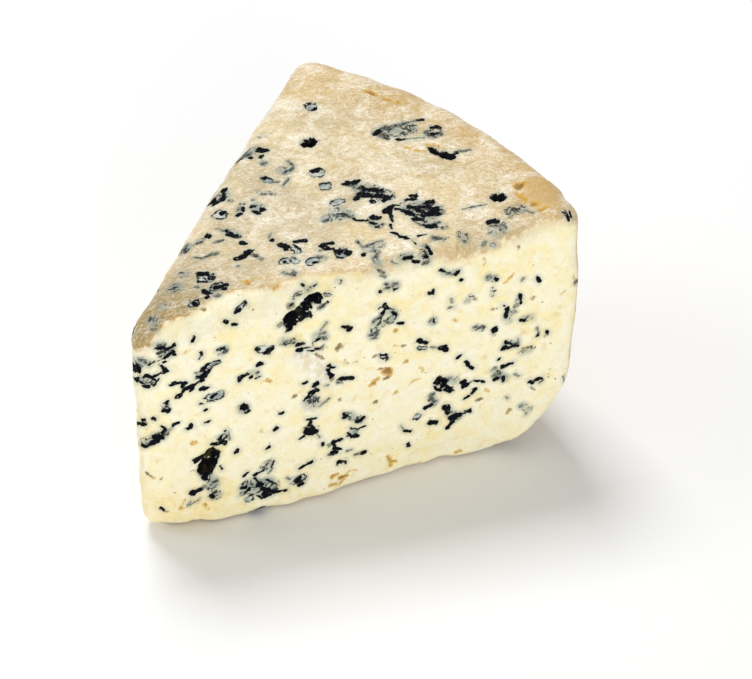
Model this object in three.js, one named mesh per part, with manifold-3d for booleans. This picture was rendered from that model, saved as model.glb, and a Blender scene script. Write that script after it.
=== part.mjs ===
// A wedge of blue-veined cheese, cut from a round wheel and resting on its flat bottom.
// Millimetres, +Z up. +X runs along the wedge from its tip to the rind of the rim, and the origin
// is the middle of the bounding box's bottom. The wedge is worked out in a frame whose origin is
// the wheel's axis, where the two cuts meet, and is moved to its place at the end.
import * as THREE from "three";
import { mergeVertices } from "three/addons/utils/BufferGeometryUtils.js";
import { ImprovedNoise } from "three/addons/math/ImprovedNoise.js";
import Module from "manifold-3d";

// Driving dimensions of the wheel and the cuts
const WHEEL_RADIUS = 100;
const HALF_ANGLE = THREE.MathUtils.degToRad(25);
const TIP_HEIGHT = 54.5;
const RIM_HEIGHT = 61.2;
const TIP_DROOP = 3.2;
const TIP_ROUNDING = 9;
const TOP_ROUNDING = 4.5;
const BOTTOM_ROUNDING = 3;
const SIDE_ROUNDING = 5;
const RIM_BELLY = 1.5;
const FOOT_RADIUS_IN = 22;
const FOOT_HEIGHT = 17;
const BELLY_AT = 0.66;
const BELLY_SPAN = 0.4;
const DROOP_LENGTH = 14;

// Unevenness of the hand-cut wedge: swells and hollows, each with its place and its spread
const SHOULDER = { softness: 3, at: 24, length: 14 };
const TOE = { bulge: 0.8, at: 28, length: 22, height: 14 };
const TUCK = { depth: 2.6, at: 67, length: 18, height: 9 };
const SWAY = { height: 0.85, peak: 0.65, span: 1.15 };
const LUMP_HEIGHT = 0.35;
const LUMP_LENGTH = 11;

// Fineness of the grid that wraps the wedge
const STEPS_ALONG = 30;
const STEPS_ACROSS = 18;
const STEPS_UP = 16;

// The core that the grid is drawn in towards, in shares of the way out, across and up
const CORE = { outFrom: 0.14, outTo: 0.86, across: 0.72, upFrom: 0.2, upTo: 0.8 };
const INNERMOST_RADIUS = 6;
const HALVINGS = 26;

// Holes and mould pockets of the front cut: distance from the axis along the cut, height,
// length, width, depth, and tilt in degrees from the horizontal
const FRONT_POCKETS = [
  { name: "slot_low", s: 37.4, z: 48.8, long: 5.6, wide: 3.0, deep: 3.2, tilt: 38 },
  { name: "slot_high", s: 42.2, z: 52.4, long: 5.2, wide: 3.2, deep: 3.0, tilt: 24 },
  { name: "big_hole", s: 18.7, z: 17.6, long: 10.5, wide: 5.0, deep: 4.5, tilt: 62 },
  { name: "big_hole_spur", s: 21.8, z: 22.6, long: 4.6, wide: 2.2, deep: 1.6, tilt: 48 },
  { name: "tip_vein", s: 8.8, z: 27.0, long: 6.5, wide: 2.0, deep: 1.5, tilt: 28 },
  { name: "tip_loop", s: 11.5, z: 48.0, long: 4.0, wide: 2.0, deep: 1.2, tilt: 10 },
  { name: "long_ring", s: 19.8, z: 41.4, long: 6.0, wide: 1.8, deep: 1.3, tilt: 32 },
  { name: "branch", s: 14.6, z: 38.0, long: 6.4, wide: 1.8, deep: 1.3, tilt: 2 },
  { name: "leaf_ring", s: 20.8, z: 33.2, long: 4.4, wide: 1.8, deep: 1.2, tilt: 15 },
  { name: "speckled_patch", s: 30.0, z: 7.6, long: 7.0, wide: 3.2, deep: 1.3, tilt: 18 },
  { name: "triangle_void", s: 40.5, z: 19.8, long: 4.6, wide: 2.8, deep: 2.4, tilt: 70 },
  { name: "triangle_foot", s: 41.4, z: 18.2, long: 3.6, wide: 1.8, deep: 1.8, tilt: -12 },
  { name: "zone_crack", s: 41.4, z: 29.4, long: 5.0, wide: 1.8, deep: 2.0, tilt: 48 },
  { name: "zone_slit", s: 45.3, z: 33.2, long: 3.6, wide: 1.6, deep: 2.0, tilt: 82 },
  { name: "zone_shelf", s: 48.6, z: 31.0, long: 4.4, wide: 1.4, deep: 1.8, tilt: 8 },
  { name: "low_blob", s: 46.3, z: 13.4, long: 3.4, wide: 1.8, deep: 1.4, tilt: 80 },
  { name: "dark_blob", s: 70.2, z: 23.6, long: 5.2, wide: 3.6, deep: 2.2, tilt: -14 },
  { name: "dark_blob_side", s: 75.1, z: 22.2, long: 3.4, wide: 2.0, deep: 1.6, tilt: -8 },
  { name: "star", s: 73.4, z: 14.0, long: 5.6, wide: 1.8, deep: 1.5, tilt: 12 },
  { name: "star_arm", s: 72.0, z: 13.6, long: 5.6, wide: 1.5, deep: 1.3, tilt: 76 },
  { name: "dumbbell_left", s: 65.4, z: 35.8, long: 2.8, wide: 2.2, deep: 1.4, tilt: 0 },
  { name: "dumbbell_right", s: 69.8, z: 33.0, long: 2.8, wide: 1.8, deep: 1.4, tilt: 0 },
  { name: "grey_well", s: 57.0, z: 44.6, long: 4.4, wide: 3.2, deep: 1.2, tilt: 60 },
  { name: "edge_patch", s: 64.6, z: 56.8, long: 5.6, wide: 2.8, deep: 1.3, tilt: 14 },
  { name: "amber_notch", s: 58.3, z: 4.6, long: 4.6, wide: 1.8, deep: 1.8, tilt: 84 },
  { name: "rim_blob", s: 92.0, z: 18.8, long: 3.2, wide: 2.6, deep: 1.6, tilt: 10 },
  { name: "ring_pocket", s: 50.4, z: 17.0, long: 3.6, wide: 2.4, deep: 1.3, tilt: 30 },
];

// Pockets of the top: place along and across the wedge, and turn about the vertical
const TOP_POCKETS = [
  { name: "deep_slot", x: 84.9, y: -8.2, long: 6.2, wide: 2.6, deep: 3.0, turn: -84 },
  { name: "grey_outline", x: 86, y: 5.4, long: 9.0, wide: 2.6, deep: 0.9, turn: -24 },
  { name: "dark_band", x: 67.5, y: -18, long: 9.0, wide: 4.0, deep: 1.4, turn: -48 },
  { name: "dark_band_end", x: 65, y: -6.4, long: 8.0, wide: 2.8, deep: 1.2, turn: -76 },
  { name: "amber_hole", x: 87.2, y: -27.9, long: 3.4, wide: 2.8, deep: 2.0, turn: 0 },
  { name: "amber_channel", x: 84.2, y: -33.6, long: 8.4, wide: 2.0, deep: 1.4, turn: -80 },
  { name: "edge_break", x: 74.2, y: -32.4, long: 6.0, wide: 2.6, deep: 1.6, turn: -24 },
  { name: "middle_pit", x: 24.8, y: 0.2, long: 3.0, wide: 2.2, deep: 1.4, turn: -30 },
  { name: "edge_smear", x: 24, y: -5.2, long: 7.0, wide: 1.8, deep: 1.1, turn: -18 },
  { name: "stroke", x: 33.6, y: -1.2, long: 3.8, wide: 1.8, deep: 1.1, turn: -10 },
];

// Channels left by the piercing needles, in the top
const NEEDLE_RADIUS = 1.1;
const NEEDLE_DEPTH = 7;
const NEEDLE_SIDES = 8;
const NEEDLE_HOLES = [
  { x: 78.2, y: 25.2 },
  { x: 68.9, y: 16.0 },
  { x: 62.0, y: 6.9 },
  { x: 81.3, y: -27.2 },
  { x: 46.8, y: 7.6 },
];

// Pockets that a seeded draw strews over the cut at the back, each size between two limits
const BACK_POCKETS = {
  count: 12,
  seed: 11,
  from: 14,
  to: 92,
  height: [10, 50],
  long: [2.6, 6.5],
  slimness: [0.35, 0.6],
  deep: [1.2, 2.6],
  tilt: [10, 60],
};

// Raggedness of a pocket's wall, and the pocket length from which its wall gets finer facets
const POCKET_SWELL = 0.3;
const SWELL_FINENESS = 1.8;
const LONG_POCKET = 6;

const PASTE_COLOUR = 0xf4e8c6;

const perlin = new ImprovedNoise();

function hump(x, at, width) {
  return Math.exp(-(((x - at) / width) ** 2));
}

// The smaller of two distances to a surface, with the edge between them rounded
function roundMin(a, b, radius) {
  const over = Math.hypot(Math.max(radius - a, 0), Math.max(radius - b, 0));
  return Math.max(radius, Math.min(a, b)) - over;
}

// Height of the top, which rises to the rim, droops at the tip and sways along the rim
function topHeight(x, y) {
  const r = Math.hypot(x, y);
  const outward = Math.min(r / WHEEL_RADIUS, 1);
  const across = Math.atan2(y, Math.max(x, 1e-6)) / HALF_ANGLE;
  const sway = SWAY.height * outward ** 3 * Math.cos((Math.PI * (across - SWAY.peak)) / SWAY.span);
  const droop = TIP_DROOP * hump(r, 0, DROOP_LENGTH);
  return TIP_HEIGHT + (RIM_HEIGHT - TIP_HEIGHT) * outward + sway - droop;
}

// Radius of the rim at a height: a belly above, and a long round foot below
function rimRadius(z) {
  const belly = RIM_BELLY * (1 - ((z / RIM_HEIGHT - BELLY_AT) / BELLY_SPAN) ** 2);
  const low = Math.max(1 - z / FOOT_HEIGHT, 0);
  return WHEEL_RADIUS + belly - FOOT_RADIUS_IN * (1 - Math.sqrt(Math.max(1 - low ** 2, 0)));
}

// Depth of a point under the wedge's surface, negative outside
function depthInside(p) {
  const r = Math.hypot(p.x, p.y);
  const toe = TOE.bulge * hump(r, TOE.at, TOE.length) * hump(p.z, 0, TOE.height);
  const tuck = TUCK.depth * hump(r, TUCK.at, TUCK.length) * hump(p.z, 0, TUCK.height);
  const front = p.x * Math.sin(HALF_ANGLE) + p.y * Math.cos(HALF_ANGLE) + toe - tuck;
  const back = p.x * Math.sin(HALF_ANGLE) - p.y * Math.cos(HALF_ANGLE);
  const cuts = roundMin(front, back, TIP_ROUNDING);
  const sides = roundMin(cuts, rimRadius(p.z) - r, SIDE_ROUNDING);
  const shoulder = TOP_ROUNDING + SHOULDER.softness * hump(r, SHOULDER.at, SHOULDER.length);
  const capped = roundMin(sides, topHeight(p.x, p.y) - p.z, shoulder);
  const lumps = LUMP_HEIGHT * perlin.noise(p.x / LUMP_LENGTH, p.y / LUMP_LENGTH, p.z / LUMP_LENGTH);
  return roundMin(capped + lumps, p.z, BOTTOM_ROUNDING);
}

// Point of the sharp-edged wedge at shares of the way out, across and up
function sharpPoint(out, across, up) {
  const r = INNERMOST_RADIUS + (WHEEL_RADIUS - INNERMOST_RADIUS) * out;
  const x = r * Math.cos(HALF_ANGLE * across);
  const y = r * Math.sin(HALF_ANGLE * across);
  return new THREE.Vector3(x, y, up * topHeight(x, y));
}

// Where the way from a point inside towards a point outside leaves the wedge
function leavePoint(inner, outer) {
  let low = 0;
  let high = 2;
  const way = outer.clone().sub(inner);
  for (let step = 0; step < HALVINGS; step += 1) {
    const middle = (low + high) / 2;
    if (depthInside(inner.clone().addScaledVector(way, middle)) > 0) low = middle;
    else high = middle;
  }
  return inner.clone().addScaledVector(way, low);
}

function onlyPositions(geometry) {
  geometry.deleteAttribute("normal");
  geometry.deleteAttribute("uv");
  return mergeVertices(geometry, 1e-5);
}

// A box's grid, drawn in to the wedge's surface
function wedgeGeometry() {
  const geometry = onlyPositions(new THREE.BoxGeometry(1, 2, 1, STEPS_ALONG, STEPS_ACROSS, STEPS_UP));
  const position = geometry.attributes.position;
  const clamp = THREE.MathUtils.clamp;
  for (let i = 0; i < position.count; i += 1) {
    const out = position.getX(i) + 0.5;
    const across = position.getY(i);
    const up = position.getZ(i) + 0.5;
    const core = sharpPoint(
      clamp(out, CORE.outFrom, CORE.outTo),
      clamp(across, -CORE.across, CORE.across),
      clamp(up, CORE.upFrom, CORE.upTo),
    );
    position.setXYZ(i, ...leavePoint(core, sharpPoint(out, across, up)).toArray());
  }
  return geometry;
}

const wasm = await Module();
wasm.setup();

function toSolid(geometry) {
  const vertProperties = Float32Array.from(geometry.attributes.position.array);
  const triVerts = Uint32Array.from(geometry.index.array);
  return new wasm.Manifold(new wasm.Mesh({ numProp: 3, vertProperties, triVerts }));
}

function toGeometry(solid) {
  const mesh = solid.getMesh();
  const geometry = new THREE.BufferGeometry();
  geometry.setAttribute("position", new THREE.BufferAttribute(Float32Array.from(mesh.vertProperties), 3));
  geometry.setIndex(new THREE.BufferAttribute(Uint32Array.from(mesh.triVerts), 1));
  geometry.computeVertexNormals();
  return geometry;
}

// Frame of a place on the surface: where it is, the way along, the way up the face and outward
function placeOnFace(point, along, outward) {
  const reachOut = 4;
  const reachIn = 12;
  const above = point.clone().addScaledVector(outward, reachOut);
  const below = point.clone().addScaledVector(outward, -reachIn);
  const spot = leavePoint(below, above);
  const upward = outward.clone().cross(along);
  return new THREE.Matrix4().makeBasis(along, upward, outward).setPosition(spot);
}

// A ragged lens that is sunk into the surface, half of it below
function pocketGeometry(pocket, place, turn) {
  const detail = pocket.long > LONG_POCKET ? 2 : 1;
  const geometry = onlyPositions(new THREE.IcosahedronGeometry(1, detail));
  const position = geometry.attributes.position;
  for (let i = 0; i < position.count; i += 1) {
    const v = new THREE.Vector3().fromBufferAttribute(position, i);
    const across = v.x * SWELL_FINENESS + pocket.long * 3;
    const up = v.y * SWELL_FINENESS + pocket.deep * 5;
    const swell = 1 + POCKET_SWELL * perlin.noise(across, up, v.z);
    position.setXYZ(i, v.x * swell, v.y * swell, v.z * swell);
  }
  geometry.scale(pocket.long / 2, pocket.wide / 2, pocket.deep);
  geometry.rotateZ(THREE.MathUtils.degToRad(turn));
  geometry.applyMatrix4(place);
  return geometry;
}

// Places on the cut at the front (side -1) or at the back (side 1)
function cutPlace(s, z, side) {
  const along = new THREE.Vector3(Math.cos(HALF_ANGLE), side * Math.sin(HALF_ANGLE), 0);
  const outward = new THREE.Vector3(-Math.sin(HALF_ANGLE), side * Math.cos(HALF_ANGLE), 0);
  return placeOnFace(new THREE.Vector3(along.x * s, along.y * s, z), along, outward);
}

function topPlace(x, y) {
  const point = new THREE.Vector3(x, y, topHeight(x, y));
  return placeOnFace(point, new THREE.Vector3(1, 0, 0), new THREE.Vector3(0, 0, 1));
}

function needleGeometry(hole) {
  const shape = new THREE.CylinderGeometry(NEEDLE_RADIUS, NEEDLE_RADIUS * 0.6, NEEDLE_DEPTH, NEEDLE_SIDES);
  const geometry = onlyPositions(shape);
  geometry.rotateX(Math.PI / 2);
  geometry.applyMatrix4(topPlace(hole.x, hole.y));
  return geometry;
}

// Park and Miller's draw of numbers from 0 to 1
function makeDraw(seed) {
  const multiplier = 48271;
  const modulus = 2147483647;
  let state = seed;
  return ([low, high]) => {
    state = (state * multiplier) % modulus;
    return low + ((high - low) * state) / modulus;
  };
}

function backPockets() {
  const { count, from, to, height, slimness } = BACK_POCKETS;
  const draw = makeDraw(BACK_POCKETS.seed);
  const pockets = [];
  for (let i = 0; i < count; i += 1) {
    const s = from + ((to - from) * (i + 0.5)) / count;
    const z = draw(height);
    const long = draw(BACK_POCKETS.long);
    const wide = long * draw(slimness);
    pockets.push({ s, z, long, wide, deep: draw(BACK_POCKETS.deep), tilt: draw(BACK_POCKETS.tilt) });
  }
  return pockets;
}

function cheeseGeometry() {
  let solid = toSolid(wedgeGeometry());
  const hollows = [
    ...FRONT_POCKETS.map((p) => pocketGeometry(p, cutPlace(p.s, p.z, -1), p.tilt)),
    ...backPockets().map((p) => pocketGeometry(p, cutPlace(p.s, p.z, 1), -p.tilt)),
    ...TOP_POCKETS.map((p) => pocketGeometry(p, topPlace(p.x, p.y), p.turn)),
    ...NEEDLE_HOLES.map(needleGeometry),
  ];
  for (const hollow of hollows) {
    solid = solid.subtract(toSolid(hollow));
  }
  return toGeometry(solid);
}

const pasteMaterial = new THREE.MeshStandardMaterial({ color: PASTE_COLOUR, roughness: 0.55, metalness: 0 });

const wedge = new THREE.Mesh(cheeseGeometry(), pasteMaterial);
wedge.name = "cheese_wedge";
wedge.geometry.computeBoundingBox();
const middle = wedge.geometry.boundingBox.getCenter(new THREE.Vector3());
wedge.position.set(-middle.x, -middle.y, -wedge.geometry.boundingBox.min.z);

const cheese = new THREE.Group();
cheese.add(wedge);
export default cheese;
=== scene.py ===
import math
from collections import namedtuple

import bpy
import numpy as np
from mathutils import Matrix, Vector


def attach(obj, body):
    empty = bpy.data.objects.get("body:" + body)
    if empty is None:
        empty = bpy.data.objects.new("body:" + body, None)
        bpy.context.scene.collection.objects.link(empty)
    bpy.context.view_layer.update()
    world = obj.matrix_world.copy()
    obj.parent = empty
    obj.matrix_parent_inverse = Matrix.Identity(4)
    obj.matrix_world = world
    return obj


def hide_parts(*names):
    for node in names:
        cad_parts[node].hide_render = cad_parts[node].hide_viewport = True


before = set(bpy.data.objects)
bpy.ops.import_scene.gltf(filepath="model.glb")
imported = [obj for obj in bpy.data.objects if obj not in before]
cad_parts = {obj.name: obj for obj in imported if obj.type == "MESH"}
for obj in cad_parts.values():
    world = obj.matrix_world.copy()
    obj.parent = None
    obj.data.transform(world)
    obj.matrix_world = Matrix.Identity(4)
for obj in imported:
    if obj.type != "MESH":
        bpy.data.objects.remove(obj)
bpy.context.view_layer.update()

MM = 0.001

# Sizes of the wheel and the cuts, in millimetres
WHEEL_RADIUS = 100
HALF_ANGLE = math.radians(25)
TIP_HEIGHT = 54.5
RIM_HEIGHT = 61.2
RIM_SWAY = 0.85
TIP_DROOP = 3.2
TIP_ROUNDING = 9
TOP_ROUNDING = 4.5
BOTTOM_ROUNDING = 3
TIP_TOE = 3.5
SIDE_ROUNDING = 5
RIM_BELLY = 1.5
FOOT_RADIUS_IN = 22
FOOT_HEIGHT = 17
SHOULDER_SOFTNESS = 3
TOE_BULGE = 0.8
FOOT_TUCK = 2.6
LUMP_HEIGHT = 0.2
RAGGED_FOOT = 0.45

# The curd was pressed aslant: mould and seams run up the cut in this direction, drawn out
CURD_TILT = math.radians(35)
CURD_STRETCH = 0.35

# Grid that wraps the wedge: about 0.6 mm a cell. Its points are drawn in towards a smaller wedge
# inside, which takes these shares of the whole one.
STEPS_ALONG = 168
STEPS_ACROSS = 104
STEPS_UP = 100
INNERMOST = 6
CORE_OUT = (0.14, 0.86)
CORE_ACROSS = (-0.72, 0.72)
CORE_UP = (0.2, 0.8)
HALVINGS = 24

# The way that the palette knife went over the top, and the heights of the fine relief in millimetres
KNIFE_TURN = math.radians(38)
RELIEF_SIZES = {"Smear height": 0.42, "Crumb height": 0.75, "Stroke height": 0.3, "Pit share": 1.0}

# The camera's place, in the wheel's frame, as a photographer would set it
VIEW_TURN = math.radians(44.9)
VIEW_HEIGHT = math.radians(37.3)
VIEW_DISTANCE = 538.7
VIEW_ASIDE = -51.9
VIEW_BELOW = -42.7
LENS = 124.5
SENSOR = 36
PHOTO_WIDTH = 752
PHOTO_HEIGHT = 679

# Each lamp's place in metres to the camera's right, beyond the cheese and above it, its side and
# its power in watts
LAMPS = {
    "key": (-0.3, 0.62, 1.35, 0.55, 12.8),
    "side": (-1.2, 0.1, 0.8, 0.5, 3.0),
    "fill": (0.3, -1.2, 0.36, 0.5, 5.8),
}
LAMP_TARGET = (0, 0, 0.03)
SKY_STRENGTH = 0.44
FLOOR_SIDE = 6.0
FLOOR_WHITE = (0.93, 0.93, 0.93, 1)
FLOOR_ROUGHNESS = 0.9

# How a sight line finds the wedge: its start before the wheel's axis, its steps, and the depth past
# which it has missed; and the least slope to it that a plane is given
SIGHT_START = 130
SIGHT_STEPS = 60
MISSED = 0.5
LEAST_STEEPNESS = 0.25

# Distance that stands for no mould nearby, how far past its edge a stroke is felt by the crisp
# lines and by the soft fields, and the shortest half length of a stroke
FAR = 9.0
LINE_MARGIN = 2.5
SOFT_MARGIN = 4
SHORTEST_REACH = 0.02
TINY = 1e-6

# A stroke gets thinner where the surface is further off its plane than the slack, and where the
# two face ways whose cosine is under FACING_ENOUGH
PLANE_SLACK = 0.4
LEAVING_LOSS = 0.5
FACING_ENOUGH = 0.6
TURNING_LOSS = 6

# Over this length a stroke's pull on the mould's depth falls off, and strokes between these half
# widths sink from not at all to their whole depth
PULL_LENGTH = 0.3
SINKING_RADII = (0.2, 0.7)

SEED = 7

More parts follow.
